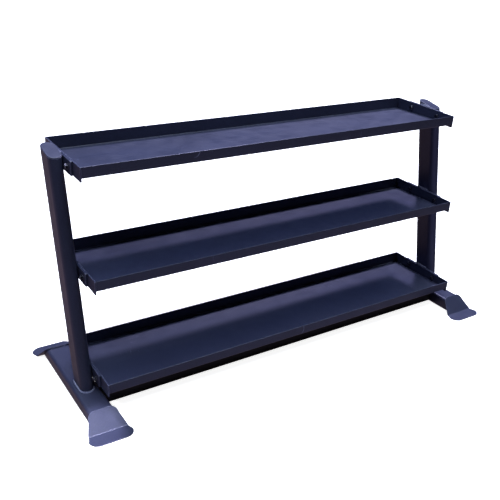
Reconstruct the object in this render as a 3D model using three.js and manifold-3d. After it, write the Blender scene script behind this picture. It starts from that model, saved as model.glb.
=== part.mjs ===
// Three-tier dumbbell rack: two welded end frames joined by three bolted sheet-metal trays.
// Millimetres, +Z up. +X runs along the trays, -Y is the front, where a user stands, and the
// origin lies on the floor under the middle of the rack.
import * as THREE from 'three';
import { mergeVertices } from 'three/addons/utils/BufferGeometryUtils.js';
import Module from 'manifold-3d';

const wasm = await Module();
wasm.setup();

// ---- Driving dimensions ----
const GAP = 0.3;                                   // clearance between pieces that touch
const FRAME_X = 950.6;                             // centre plane of each end frame

// Base beams: flat tube lying on the floor, mitred at both ends for the foot plates.
const BEAM_WIDTH = 100;
const BEAM_HEIGHT = 60;
const BEAM_RADIUS = 14;
const BEAM_WALL = 3;

// Foot plates: bent plate that closes a beam end and spreads on the floor.
const FOOT_THICKNESS = 4;
const FOOT_REACH = 379.5;                          // flange edge from the middle of the rack
const FOOT_FOLD = 315;                             // fold line, in the middle of the sheet
const FOOT_SLOPE = THREE.MathUtils.degToRad(45);
const FOOT_RISE = 91;                              // length of the sloping part
const FOOT_WAIST = 79;                             // half widths: at the fold,
const FOOT_SPREAD = 88;                            // of the flange,
const FOOT_CREST = 60;                             // and at the top edge
const FOOT_PLAIN = 4;                              // even width this far either side of the fold
const FOOT_CORNER = 39;
const FOOT_CREST_CORNER = 30;
const FOOT_BEND_RADIUS = 6;                        // inside radius of the fold

// Uprights: flat-sided oval tube that leans back, cut sloping at the top and closed by a plate.
const LEAN = THREE.MathUtils.degToRad(9.8);
const UPRIGHT_FOOT_Y = -74.4;                      // the tube's axis at floor level
const UPRIGHT_DEPTH = 115;
const UPRIGHT_THICKNESS = 54;
const UPRIGHT_WALL = 3;
const UPRIGHT_TOP = 982.5;                         // cap's top face on the tube's axis
const CAP_SLOPE = THREE.MathUtils.degToRad(12);    // lower at the front
const CAP_THICKNESS = 4;
const WELD_LEG = 5;                                // fillet weld round the tube's foot

// Trays: folded pan between two flat end plates, in a frame of its own that is centred on the
// bolts, with local Y along the rims and local Z square to them.
const TRAY_LENGTH = 1830;
const TRAY_DEPTH = 379;
const TRAY_TILT = THREE.MathUtils.degToRad(1.9);   // rims rise toward the back
const TRAY_LEVELS = [['bottom', 132], ['middle', 539.3], ['top', 946.6]];
const SHEET = 3;
const SHEET_BEND = 4;                              // inside radius of the folds
const END_HEIGHT = 56;
const END_THICKNESS = 5;
const END_CORNER = 3;
// The lip is lower than the back wall by just enough for the tilted tray's floor to lie level.
const LIP_HEIGHT = END_HEIGHT - (TRAY_DEPTH - SHEET) * Math.tan(TRAY_TILT);

// Brackets: plate welded to the inner flat of each upright, with a tray bolt on either side.
const BRACKET_THICKNESS = 8;
const BRACKET_LENGTH = 232;
const BRACKET_CHAMFER = 4;                         // at the two upper corners
const BRACKET_FOOT_CHAMFER = 3;                    // at the two lower corners
const BOLT_SPREAD = 86.5;                          // bolts from the middle of the tray

// M12 fasteners with a flanged head and a flanged nut.
const SHANK_RADIUS = 6;
const HOLE_RADIUS = 6.5;
const HEX_ACROSS_FLATS = 18;
const HEAD_HEIGHT = 7.5;
const NUT_HEIGHT = 10;
const FLANGE_RADIUS = 11;
const FLANGE_HEIGHT = 1.6;
const THREAD_END = 3.5;                            // thread standing out of the nut

// Low crossmember: tube between the two base beams, just clear of the floor.
const CROSS_FRONT = -152;
const CROSS_DEPTH = 100;
const CROSS_HEIGHT = 50;
const CROSS_RADIUS = 6;
const CROSS_WALL = 3;
const CROSS_CLEARANCE = 5;

// Fineness of curved surfaces: steps in a quarter or half turn, and sides of a full round.
const SMALL_STEPS = 2;
const BEAM_STEPS = 3;
const FOOT_STEPS = 4;
const OVAL_STEPS = 8;
const FOLD_STEPS = 3;
const ROUND_SIDES = 16;
const HEX_SIDES = 6;

// Cutting solids reach past what they cut by these lengths.
const DRILL_OVERRUN = 1;
const TUBE_OVERRUN = 60;
const SLAB_HALF = 300;
const BLANK_DEPTH = 40;

const FRAME_SIDES = [['left', -1], ['right', 1]];
const FOOT_ENDS = [['front', -1], ['rear', 1]];

// ---- Materials ----
function finish(color, roughness, metalness) {
  return new THREE.MeshStandardMaterial({ color, roughness, metalness });
}

const powderCoat = () => finish(0x20223a, 0.42, 0.25);
const sheetCoat = () => finish(0x23263d, 0.38, 0.25);
const capCoat = () => finish(0x26283f, 0.4, 0.25);
const weldCoat = () => finish(0x2c2e48, 0.35, 0.3);
const blackZinc = () => finish(0x2a2b33, 0.35, 0.8);
const mattBlack = () => finish(0x111114, 0.6, 0.1);

// ---- Solid helpers ----
const MERGE_DISTANCE = 1e-4;                        // vertices this close are merged

/** A closed three.js geometry as a solid for cutting and joining. */
function toSolid(geometry) {
  const bare = geometry.clone();
  bare.deleteAttribute('normal');
  bare.deleteAttribute('uv');
  const merged = mergeVertices(bare, MERGE_DISTANCE);
  return new wasm.Manifold(new wasm.Mesh({
    numProp: 3,
    vertProperties: new Float32Array(merged.attributes.position.array),
    triVerts: new Uint32Array(merged.index.array),
  }));
}

/** The triangles of a solid as a geometry. */
function toGeometry(solid) {
  const { vertProperties, triVerts } = solid.getMesh();
  const geometry = new THREE.BufferGeometry();
  geometry.setAttribute('position', new THREE.BufferAttribute(vertProperties, 3));
  geometry.setIndex(new THREE.BufferAttribute(triVerts, 1));
  geometry.computeVertexNormals();
  return geometry;
}

/** A level slab between two heights, wider all round than an end frame's upright. */
function slab(bottom, top) {
  const geometry = new THREE.BoxGeometry(2 * SLAB_HALF, 2 * SLAB_HALF, top - bottom);
  return geometry.translate(0, 0, (bottom + top) / 2);
}

/** A straight prism of a shape along +Z. */
function prism(shape, height, curveSegments = SMALL_STEPS) {
  return new THREE.ExtrudeGeometry(shape, { depth: height, bevelEnabled: false, curveSegments });
}

/** A cylinder along X from x0 to x1, with its axis at (y, 0). */
function rod(radius, x0, x1, y, sides = ROUND_SIDES) {
  const geometry = new THREE.CylinderGeometry(radius, radius, x1 - x0, sides);
  return geometry.rotateZ(Math.PI / 2).translate((x0 + x1) / 2, y, 0);
}

/** Reflects a geometry in the plane x = 0 or y = 0 and keeps its faces pointing out. */
function mirrored(geometry, axis) {
  const copy = geometry.clone();
  copy.scale(axis === 'x' ? -1 : 1, axis === 'y' ? -1 : 1, 1);
  const order = copy.index ?? new THREE.BufferAttribute(
    Uint32Array.from({ length: copy.attributes.position.count }, (_, i) => i), 1);
  const flipped = order.clone();
  for (let i = 0; i < flipped.count; i += 3) {
    flipped.setX(i + 1, order.getX(i + 2));
    flipped.setX(i + 2, order.getX(i + 1));
  }
  copy.setIndex(flipped);
  copy.computeVertexNormals();
  return copy;
}

function roundedRectangle(width, height, radius, path = new THREE.Shape()) {
  const x = width / 2;
  const y = height / 2;
  path.moveTo(-x + radius, -y);
  path.lineTo(x - radius, -y);
  path.absarc(x - radius, -y + radius, radius, -Math.PI / 2, 0);
  path.lineTo(x, y - radius);
  path.absarc(x - radius, y - radius, radius, 0, Math.PI / 2);
  path.lineTo(-x + radius, y);
  path.absarc(-x + radius, y - radius, radius, Math.PI / 2, Math.PI);
  path.lineTo(-x, -y + radius);
  path.absarc(-x + radius, -y + radius, radius, Math.PI, Math.PI * 1.5);
  return path;
}

/** A flat-sided oval with its long axis on Y. */
function oval(thickness, depth, path = new THREE.Shape()) {
  const radius = thickness / 2;
  const straight = depth / 2 - radius;
  path.moveTo(radius, -straight);
  path.lineTo(radius, straight);
  path.absarc(0, straight, radius, 0, Math.PI);
  path.lineTo(-radius, -straight);
  path.absarc(0, -straight, radius, Math.PI, Math.PI * 2);
  return path;
}

/** The outline of a sheet of even thickness folded along a centre line of straight runs. */
function foldedSheet(corners, thickness, insideRadius) {
  const middleRadius = insideRadius + thickness / 2;
  const left = [];
  const right = [];
  const addStation = (point, direction) => {
    const offset = new THREE.Vector2(-direction.y, direction.x).multiplyScalar(thickness / 2);
    left.push(point.clone().add(offset));
    right.unshift(point.clone().sub(offset));
  };
  corners.forEach((corner, i) => {
    const before = i > 0 ? corner.clone().sub(corners[i - 1]).normalize() : null;
    const after = i < corners.length - 1 ? corners[i + 1].clone().sub(corner).normalize() : null;
    if (!before || !after) {
      addStation(corner, before ?? after);
      return;
    }
    const turn = Math.atan2(before.cross(after), before.dot(after));
    const side = Math.sign(turn);
    const tangent = middleRadius * Math.tan(Math.abs(turn) / 2);
    const start = corner.clone().addScaledVector(before, -tangent);
    const toCentre = new THREE.Vector2(-before.y, before.x).multiplyScalar(side * middleRadius);
    const centre = start.clone().add(toCentre);
    for (let step = 0; step <= FOLD_STEPS; step += 1) {
      const angle = turn * step / FOLD_STEPS;
      const point = start.clone().rotateAround(centre, angle);
      addStation(point, before.clone().rotateAround(new THREE.Vector2(), angle));
    }
  });
  return new THREE.Shape([...left, ...right]);
}

function mesh(name, geometry, material) {
  const part = new THREE.Mesh(geometry, material);
  part.name = name;
  return part;
}

// ---- Base beams and foot plates ----
/** A block beyond a plane that slopes down and outward, for the mitre at one end of a beam. */
function mitreCutter(direction) {
  const size = 4 * BEAM_WIDTH;
  const geometry = new THREE.BoxGeometry(size, size, size).translate(0, 0, size / 2);
  geometry.rotateX(-direction * FOOT_SLOPE);
  const underface = FOOT_FOLD - FOOT_THICKNESS / 2 * Math.tan(FOOT_SLOPE / 2);
  const mitreFoot = underface - GAP / Math.sin(FOOT_SLOPE);
  return geometry.translate(0, direction * mitreFoot, 0);
}

function baseBeam(name, side) {
  const section = roundedRectangle(BEAM_WIDTH, BEAM_HEIGHT, BEAM_RADIUS);
  const boreWidth = BEAM_WIDTH - 2 * BEAM_WALL;
  const boreHeight = BEAM_HEIGHT - 2 * BEAM_WALL;
  section.holes.push(roundedRectangle(boreWidth, boreHeight, BEAM_RADIUS - BEAM_WALL, new THREE.Path()));
  const stock = prism(section, 2 * FOOT_REACH, BEAM_STEPS).translate(0, 0, -FOOT_REACH);
  stock.rotateX(Math.PI / 2).translate(0, 0, BEAM_HEIGHT / 2);
  const beam = toSolid(stock).subtract(toSolid(mitreCutter(-1))).subtract(toSolid(mitreCutter(1)));
  const part = mesh(`${name}_base_beam`, toGeometry(beam), powderCoat());
  part.position.x = side * FRAME_X;
  return part;
}

/** The flange's outline, with x across and y along the flat plate from the fold to its crest. */
function flangeBlank() {
  const end = FOOT_FOLD - FOOT_REACH;
  const spread = FOOT_SPREAD - FOOT_CORNER;
  const shape = new THREE.Shape();
  shape.moveTo(-spread, end);
  shape.lineTo(spread, end);
  shape.absarc(spread, end + FOOT_CORNER, FOOT_CORNER, -Math.PI / 2, 0);
  shape.lineTo(FOOT_WAIST, -FOOT_PLAIN);
  shape.lineTo(FOOT_WAIST, FOOT_PLAIN);
  shape.lineTo(-FOOT_WAIST, FOOT_PLAIN);
  shape.lineTo(-FOOT_WAIST, -FOOT_PLAIN);
  shape.absarc(-spread, end + FOOT_CORNER, FOOT_CORNER, Math.PI, Math.PI * 1.5);
  return shape;
}

/** The sloping part's outline, in the same plane; the two overlap where their width is even. */
function slopeBlank() {
  const crest = FOOT_CREST - FOOT_CREST_CORNER;
  const shoulder = FOOT_RISE - FOOT_CREST_CORNER;
  const shape = new THREE.Shape();
  shape.moveTo(-FOOT_WAIST, -FOOT_PLAIN);
  shape.lineTo(FOOT_WAIST, -FOOT_PLAIN);
  shape.lineTo(FOOT_WAIST, FOOT_PLAIN);
  shape.lineTo(FOOT_CREST, shoulder);
  shape.absarc(crest, shoulder, FOOT_CREST_CORNER, 0, Math.PI / 2);
  shape.absarc(-crest, shoulder, FOOT_CREST_CORNER, Math.PI / 2, Math.PI);
  shape.lineTo(-FOOT_WAIST, FOOT_PLAIN);
  return shape;
}

/** Stands an outline up as a block along the plane that rises from the fold at this slope. */
function blankBlock(shape, slope) {
  const block = prism(shape, BLANK_DEPTH, FOOT_STEPS).translate(0, 0, -BLANK_DEPTH / 2);
  return toSolid(block.rotateX(Math.PI - slope).translate(0, FOOT_FOLD, FOOT_THICKNESS / 2));
}

/** The foot plate at the rear (+Y) end of a beam: a folded strip, trimmed to the two outlines. */
function footPlateGeometry() {
  const half = FOOT_THICKNESS / 2;
  const rise = FOOT_RISE * Math.sin(FOOT_SLOPE);
  const run = FOOT_RISE * Math.cos(FOOT_SLOPE);
  const centreLine = [
    new THREE.Vector2(FOOT_REACH, half),
    new THREE.Vector2(FOOT_FOLD, half),
    new THREE.Vector2(FOOT_FOLD - run, half + rise),
  ];
  const width = 2 * FOOT_SPREAD;
  const strip = prism(foldedSheet(centreLine, FOOT_THICKNESS, FOOT_BEND_RADIUS), width);
  strip.translate(0, 0, -width / 2).rotateY(Math.PI / 2).rotateX(Math.PI / 2);
  const outline = blankBlock(flangeBlank(), 0).add(blankBlock(slopeBlank(), FOOT_SLOPE));
  return toGeometry(toSolid(strip).intersect(outline));
}

function footPlates() {
  const rear = footPlateGeometry();
  const front = mirrored(rear, 'y');
  return FRAME_SIDES.flatMap(([sideName, side]) => FOOT_ENDS.map(([endName, end]) => {
    const part = mesh(`${sideName}_${endName}_foot`, end > 0 ? rear : front, powderCoat());
    part.position.x = side * FRAME_X;
    return part;
  }));
}

// ---- Uprights, caps and welds ----
/** Y of the upright's axis at height z. */
function axisY(z) {
  return UPRIGHT_FOOT_Y + z * Math.tan(LEAN);
}

/** A prism along the leaning axis, longer than the upright at both ends. */
function leaningPrism(shape) {
  const length = UPRIGHT_TOP / Math.cos(LEAN) + 2 * TUBE_OVERRUN;
  const geometry = prism(shape, length, OVAL_STEPS).translate(0, 0, -TUBE_OVERRUN);
  return toSolid(geometry.rotateX(-LEAN).translate(0, UPRIGHT_FOOT_Y, 0));
}

/** A slab with the cap's slope, between two heights above the cap's top face. */
function capSlab(bottom, top) {
  return toSolid(slab(bottom, top).rotateX(CAP_SLOPE).translate(0, axisY(UPRIGHT_TOP), UPRIGHT_TOP));
}

function endFrameUpright(name, side) {
  const parts = new THREE.Group();
  const footZ = BEAM_HEIGHT + GAP;
  const belowFoot = toSolid(slab(-SLAB_HALF, footZ));

  const section = oval(UPRIGHT_THICKNESS, UPRIGHT_DEPTH);
  section.holes.push(oval(
    UPRIGHT_THICKNESS - 2 * UPRIGHT_WALL, UPRIGHT_DEPTH - 2 * UPRIGHT_WALL, new THREE.Path()));
  const aboveTube = capSlab(-CAP_THICKNESS - GAP, SLAB_HALF);
  const tube = leaningPrism(section).subtract(belowFoot).subtract(aboveTube);
  parts.add(mesh(`${name}_upright`, toGeometry(tube), powderCoat()));

  const cap = leaningPrism(oval(UPRIGHT_THICKNESS, UPRIGHT_DEPTH)).intersect(capSlab(-CAP_THICKNESS, 0));
  parts.add(mesh(`${name}_upright_cap`, toGeometry(cap), capCoat()));

  const bead = oval(UPRIGHT_THICKNESS + 2 * WELD_LEG, UPRIGHT_DEPTH + 2 * WELD_LEG);
  bead.holes.push(oval(UPRIGHT_THICKNESS + 2 * GAP, UPRIGHT_DEPTH + 2 * GAP, new THREE.Path()));
  const weld = leaningPrism(bead).intersect(toSolid(slab(footZ, footZ + WELD_LEG)));
  parts.add(mesh(`${name}_upright_weld`, toGeometry(weld), weldCoat()));

  parts.position.x = side * FRAME_X;
  return parts;
}

// ---- Trays ----
function trayPan(name) {
  const half = SHEET / 2;
  const rim = END_HEIGHT / 2;
  const front = -TRAY_DEPTH / 2 + half;
  const back = TRAY_DEPTH / 2 - half;
  const centreLine = [
    new THREE.Vector2(front, rim),
    new THREE.Vector2(front, rim - LIP_HEIGHT + half),
    new THREE.Vector2(back, -rim + half),
    new THREE.Vector2(back, rim),
  ];
  const length = TRAY_LENGTH - 2 * END_THICKNESS - 2 * GAP;
  const geometry = prism(foldedSheet(centreLine, SHEET, SHEET_BEND), length);
  geometry.translate(0, 0, -length / 2).rotateY(Math.PI / 2).rotateX(Math.PI / 2);
  return mesh(`${name}_tray_pan`, geometry, sheetCoat());
}

/** A plate standing on edge with its faces at x0 and x1, drilled for the two tray bolts. */
function drilledPlate(outline, x0, x1) {
  const plate = prism(outline, x1 - x0).rotateY(Math.PI / 2).rotateX(Math.PI / 2).translate(x0, 0, 0);
  const drill = (y) => toSolid(rod(HOLE_RADIUS, x0 - DRILL_OVERRUN, x1 + DRILL_OVERRUN, y));
  return toGeometry(toSolid(plate).subtract(drill(-BOLT_SPREAD)).subtract(drill(BOLT_SPREAD)));
}

function bracketOutline() {
  const y = BRACKET_LENGTH / 2;
  const z = END_HEIGHT / 2;
  const upper = BRACKET_CHAMFER;
  const lower = BRACKET_FOOT_CHAMFER;
  const frontHalf = [[-y + upper, z], [-y, z - upper], [-y, -z + lower], [-y + lower, -z]];
  const rearHalf = frontHalf.map(([py, pz]) => [-py, pz]).reverse();
  return new THREE.Shape([...frontHalf, ...rearHalf].map((point) => new THREE.Vector2(...point)));
}

/** The pieces at the right-hand (+X) end of a tray: end plate, bracket, bolts and nuts. */
function trayEnd() {
  const plateOutside = TRAY_LENGTH / 2;
  const plateInside = plateOutside - END_THICKNESS;
  const bracketInside = plateOutside + GAP;
  const bracketOutside = bracketInside + BRACKET_THICKNESS;
  const hexRadius = HEX_ACROSS_FLATS / 2 / Math.cos(Math.PI / 6);

  const headSeat = plateInside - GAP;
  const nutSeat = bracketOutside + GAP;
  const nutEnd = nutSeat + NUT_HEIGHT;
  const boltAt = (y) => {
    const shank = toSolid(rod(SHANK_RADIUS, headSeat - HEAD_HEIGHT, nutEnd + THREAD_END, y));
    const hex = toSolid(rod(hexRadius, headSeat - HEAD_HEIGHT, headSeat, y, HEX_SIDES));
    const flange = toSolid(rod(FLANGE_RADIUS, headSeat - FLANGE_HEIGHT, headSeat, y));
    return toGeometry(shank.add(hex).add(flange));
  };
  const nutAt = (y) => {
    const hex = toSolid(rod(hexRadius, nutSeat, nutEnd, y, HEX_SIDES));
    const flange = toSolid(rod(FLANGE_RADIUS, nutSeat, nutSeat + FLANGE_HEIGHT, y));
    const boreStart = nutSeat - DRILL_OVERRUN;
    const bore = toSolid(rod(SHANK_RADIUS + GAP, boreStart, nutEnd + DRILL_OVERRUN, y));
    return toGeometry(hex.add(flange).subtract(bore));
  };
  const endOutline = roundedRectangle(TRAY_DEPTH, END_HEIGHT, END_CORNER);
  return {
    tray_end: [drilledPlate(endOutline, plateInside, plateOutside), sheetCoat],
    bracket: [drilledPlate(bracketOutline(), bracketInside, bracketOutside), powderCoat],
    front_bolt: [boltAt(-BOLT_SPREAD), blackZinc],
    rear_bolt: [boltAt(BOLT_SPREAD), blackZinc],
    front_nut: [nutAt(-BOLT_SPREAD), blackZinc],
    rear_nut: [nutAt(BOLT_SPREAD), blackZinc],
  };
}

function trayWithFixings(name, height, endPieces) {
  const tray = new THREE.Group();
  tray.position.set(0, axisY(height), height);
  tray.rotation.x = TRAY_TILT;
  tray.add(trayPan(name));
  for (const [sideName, side] of FRAME_SIDES) {
    for (const [piece, [geometry, material]] of Object.entries(endPieces)) {
      const shape = side > 0 ? geometry : mirrored(geometry, 'x');
      tray.add(mesh(`${name}_${sideName}_${piece}`, shape, material()));
    }
  }
  return tray;
}

// ---- Low crossmember ----
function lowCrossmember() {
  const section = roundedRectangle(CROSS_DEPTH, CROSS_HEIGHT, CROSS_RADIUS);
  const boreDepth = CROSS_DEPTH - 2 * CROSS_WALL;
  const boreHeight = CROSS_HEIGHT - 2 * CROSS_WALL;
  section.holes.push(roundedRectangle(boreDepth, boreHeight, CROSS_RADIUS - CROSS_WALL, new THREE.Path()));
  const length = 2 * (FRAME_X - BEAM_WIDTH / 2 - GAP);
  const geometry = prism(section, length).translate(0, 0, -length / 2);
  geometry.rotateY(Math.PI / 2).rotateX(Math.PI / 2);
  const part = mesh('low_crossmember', geometry, mattBlack());
  part.position.set(0, CROSS_FRONT + CROSS_DEPTH / 2, CROSS_CLEARANCE + CROSS_HEIGHT / 2);
  return part;
}

// ---- Assembly ----
const rack = new THREE.Group();
for (const [name, side] of FRAME_SIDES) {
  rack.add(baseBeam(name, side));
  rack.add(endFrameUpright(name, side));
}
rack.add(...footPlates());
const endPieces = trayEnd();
for (const [name, height] of TRAY_LEVELS) {
  rack.add(trayWithFixings(name, height, endPieces));
}
rack.add(lowCrossmember());

export default rack;
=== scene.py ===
"""Looks of a three-tier dumbbell rack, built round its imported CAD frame.

Metres, +Z up, +X along the trays and -Y at the front. The origin is on the floor under the middle.
"""
import math

import bmesh
import bpy
from mathutils import Matrix, Vector, noise


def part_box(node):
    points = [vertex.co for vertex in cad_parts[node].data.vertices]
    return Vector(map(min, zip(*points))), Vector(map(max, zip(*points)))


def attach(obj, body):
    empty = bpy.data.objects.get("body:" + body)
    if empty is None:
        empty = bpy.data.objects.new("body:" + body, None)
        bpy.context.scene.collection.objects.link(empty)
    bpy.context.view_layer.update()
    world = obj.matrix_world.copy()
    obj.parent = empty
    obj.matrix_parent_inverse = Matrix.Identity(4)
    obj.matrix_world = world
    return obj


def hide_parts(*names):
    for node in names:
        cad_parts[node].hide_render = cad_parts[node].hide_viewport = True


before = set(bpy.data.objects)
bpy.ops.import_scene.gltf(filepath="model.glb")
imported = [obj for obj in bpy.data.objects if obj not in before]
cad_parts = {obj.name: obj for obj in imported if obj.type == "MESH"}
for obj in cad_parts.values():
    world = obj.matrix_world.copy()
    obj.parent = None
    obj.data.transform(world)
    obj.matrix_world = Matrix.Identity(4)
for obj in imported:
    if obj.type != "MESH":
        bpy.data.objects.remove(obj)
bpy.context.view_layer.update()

BODY = "root"
SIDES = {"left": -1, "right": 1}
ENDS = {"front": -1, "rear": 1}
TIERS = ("bottom", "middle", "top")


def centre(node):
    low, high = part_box(node)
    return (low + high) / 2


def extent(node):
    low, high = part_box(node)
    return high - low


# ---- Sizes that the frame gives ----
FRAME_X = centre("right_upright").x
BEAM_WIDTH = extent("left_base_beam").x
BEAM_HEIGHT = extent("left_base_beam").z
BEAM_FOOT_Y = extent("left_base_beam").y / 2
UPRIGHT_THICKNESS = extent("left_upright").x
UPRIGHT_FOOT_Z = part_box("left_upright")[0].z
TRAY_CENTRES = {tier: Vector((0, *centre(f"{tier}_left_bracket").yz)) for tier in TIERS}
PAN_LENGTH = extent("top_tray_pan").x
LEAN = math.atan2(*(TRAY_CENTRES["top"] - TRAY_CENTRES["bottom"]).yz)

# ---- Sizes of the real pieces, in metres ----
BEAM_RADIUS = 0.014
FOOT_THICKNESS = 0.004
FOOT_FLANGE = 0.0645
FOOT_RISE = 0.091
FOOT_SLOPE = math.radians(45)
FOOT_WAIST = 0.079
FOOT_SPREAD = 0.088
FOOT_CREST = 0.060
FOOT_PLAIN = 0.004
FOOT_CORNER = 0.039
FOOT_CREST_CORNER = 0.030
FOOT_BEND_RADIUS = 0.006
UPRIGHT_DEPTH = 0.115
UPRIGHT_TOP = 0.9825
CAP_SLOPE = math.radians(12)
CAP_THICKNESS = 0.004
SEAM = 0.0003
TRAY_DEPTH = 0.379
TRAY_TILT = math.radians(1.9)
SHEET = 0.003
SHEET_BEND = 0.004
END_HEIGHT = 0.056
END_CORNER = 0.003
LIP_HEIGHT = END_HEIGHT - (TRAY_DEPTH - SHEET) * math.tan(TRAY_TILT)
BRACKET_LENGTH = 0.232
BRACKET_CHAMFER = 0.004
BRACKET_FOOT_CHAMFER = 0.003
BRACKET_EDGE = 0.0014
BOLT_SPREAD = 0.0865
SHANK_RADIUS = 0.006
THREAD_PITCH = 0.00175
THREAD_DEPTH = 0.0008
HEX_HALF = 0.009
HEAD_HEIGHT = 0.0075
NUT_HEIGHT = 0.010
FLANGE_RADIUS = 0.011
FLANGE_HEIGHT = 0.0016
THREAD_END = 0.0035
CROSS_RADIUS = 0.006
WELD_LEG = 0.005
PLATE_EDGE = 0.0011


# ---- Outlines: lists of 2-D points, anticlockwise ----
def arc(middle, radius, start, end, steps):
    """Points on an arc between two angles in degrees."""
    angles = [math.radians(start + (end - start) * i / steps) for i in range(steps + 1)]
    return [Vector(middle) + radius * Vector((math.cos(a), math.sin(a))) for a in angles]


def rounded_rectangle(width, height, radius, steps=6):
    """A rectangle round the origin with rounded corners."""
    x, y = width / 2 - radius, height / 2 - radius
    corners = ((x, -y, -90), (x, y, 0), (-x, y, 90), (-x, -y, 180))
    return [p for cx, cy, a in corners for p in arc((cx, cy), radius, a, a + 90, steps)]


def oval(thickness, depth, steps=24):
    """A flat-sided oval with its long axis on Y."""
    radius = thickness / 2
    straight = depth / 2 - radius
    return arc((0, straight), radius, 0, 180, steps) + arc((0, -straight), radius, 180, 360, steps)


def chamfered_plate(length, height, top, bottom):
    """A rectangle whose upper and lower corners are cut off at 45 degrees."""
    y, z = length / 2, height / 2
    right = [Vector(p) for p in ((y - bottom, -z), (y, -z + bottom), (y, z - top), (y - top, z))]
    return right + [Vector((-p.x, p.y)) for p in reversed(right)]


STRAIGHT = math.radians(0.1)                       # a smaller turn is no fold


def folded_sheet(corners, thickness, inside_radius, steps=8, tip_steps=4):
    """The outline of a sheet folded along straight runs, with its two free edges rounded."""
    middle_radius = inside_radius + thickness / 2
    stations = []
    for i, corner in enumerate(corners):
        before = (corner - corners[i - 1]).normalized() if i else None
        after = (corners[i + 1] - corner).normalized() if i + 1 < len(corners) else None
        if before is None or after is None:
            direction = after or before
            inward = direction * (thickness / 2 if before is None else -thickness / 2)
            stations.append((corner + inward, direction))
            continue
        turn = math.atan2(before.x * after.y - before.y * after.x, before.dot(after))
        tangent = middle_radius * math.tan(abs(turn) / 2)
        start = corner - before * tangent
        side = Vector((-before.y, before.x)) * math.copysign(middle_radius, turn)
        count = steps if abs(turn) > STRAIGHT else 0
        for step in range(count + 1):
            spin = Matrix.Rotation(turn * step / steps, 2)
            stations.append((start + side - spin @ side, spin @ before))
    half = thickness / 2
    normals = [Vector((-d.y, d.x)) * half for _, d in stations]
    left = [p + n for (p, _), n in zip(stations, normals)]
    right = [p - n for (p, _), n in zip(stations, normals)]

    def tip(point, along, sideways):
        turns = [math.pi * k / tip_steps for k in range(1, tip_steps)]
        return [point + sideways * math.cos(t) + along * math.sin(t) * half for t in turns]

    end_tip = tip(stations[-1][0], stations[-1][1], -normals[-1])
    start_tip = tip(stations[0][0], -stations[0][1], normals[0])
    return right + end_tip + left[::-1] + start_tip


# ---- Mesh helpers ----
CREASE = math.radians(42)                          # edges sharper than this aren't shaded smooth


def loft(rings, close_ends=True, close_loop=False):
    """A skin over rings of equally many points, closed by a face at each end."""
    bm = bmesh.new()
    rows = [[bm.verts.new(point) for point in ring] for ring in rings]
    pairs = list(zip(rows, rows[1:] + rows[:1])) if close_loop else list(zip(rows, rows[1:]))
    for low, high in pairs:
        for i in range(len(low)):
            j = (i + 1) % len(low)
            bm.faces.new((low[i], low[j], high[j], high[i]))
    if close_ends and not close_loop:
        bm.faces.new(rows[0][::-1])
        bm.faces.new(rows[-1])
    bmesh.ops.recalc_face_normals(bm, faces=bm.faces)
    return bm


def round_edges(bm, radius, segments=3, sharper_than=35):
    limit = math.radians(sharper_than)
    edges = [e for e in bm.edges if e.is_manifold and e.calc_face_angle() > limit]
    bmesh.ops.bevel(bm, geom=edges, offset=radius, segments=segments, profile=0.5,
                    affect="EDGES", clamp_overlap=True)
    return bm


def plate(outline, x0, x1, edge=PLATE_EDGE):
    """A plate that stands across X, its outline's points being (y, z), with rounded edges."""
    return round_edges(loft([[Vector((x, *p)) for p in outline] for x in (x0, x1)]), edge)


def make_piece(name, bm, material, slot, *nodes):
    """Turns a mesh into a piece of the rack that stands for the CAD nodes named."""
    for face in bm.faces:
        face.smooth = True
    for edge in bm.edges:
        edge.smooth = not edge.is_manifold or edge.calc_face_angle() < CREASE
    mesh = bpy.data.meshes.new(name)
    bm.to_mesh(mesh)
    bm.free()
    mesh.materials.append(material)
    piece = bpy.data.objects.new(name, mesh)
    bpy.context.scene.collection.objects.link(piece)
    shading = piece.modifiers.new("even_shading", "WEIGHTED_NORMAL")
    shading.keep_sharp = True
    shading.weight = 100
    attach(piece, BODY)
    if nodes:
        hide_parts(*nodes)
    return piece


# ---- Materials ----
NOISE_SPAN = (0.3, 0.7)                            # most of a noise lies between these


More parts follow.
